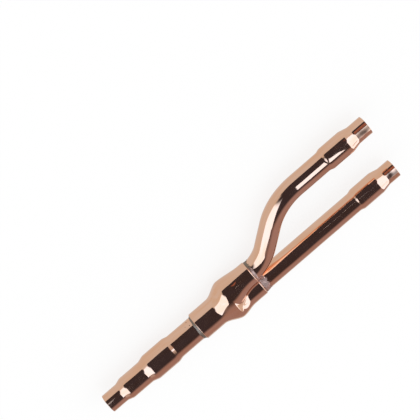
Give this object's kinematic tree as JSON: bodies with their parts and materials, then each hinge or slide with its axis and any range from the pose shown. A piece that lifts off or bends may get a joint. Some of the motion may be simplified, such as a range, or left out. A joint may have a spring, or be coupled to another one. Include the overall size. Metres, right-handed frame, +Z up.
{
  "type": "refrigerant branch joint",
  "caption": "Brazed copper branch joint that splits a refrigerant line: stepped inlet tube, flared body with a figure-eight mouth, a straight outlet and an S-bent outlet with stepped ends.",
  "frame": {"origin": "centre of the inlet socket's open end", "axes": "+X along the inlet's axis from the inlet to the outlets, +Y towards the branch side, +Z up from the surface that the joint lies on; z = 0 holds the axes of all the tubes"},
  "size_m": [0.27, 0.0745, 0.0272],
  "materials": {
    "formed_copper": "bright formed copper",
    "drawn_copper": "bright drawn copper",
    "brazing_alloy": "dull grey brazing alloy"
  },
  "bodies": {
    "root": {"y_body": "formed_copper", "inlet_tube": "drawn_copper", "straight_outlet_tube": "drawn_copper", "branch_outlet_tube": "drawn_copper", "inlet_braze": "brazing_alloy", "outlet_braze": "brazing_alloy"}
  },
  "joints": []
}
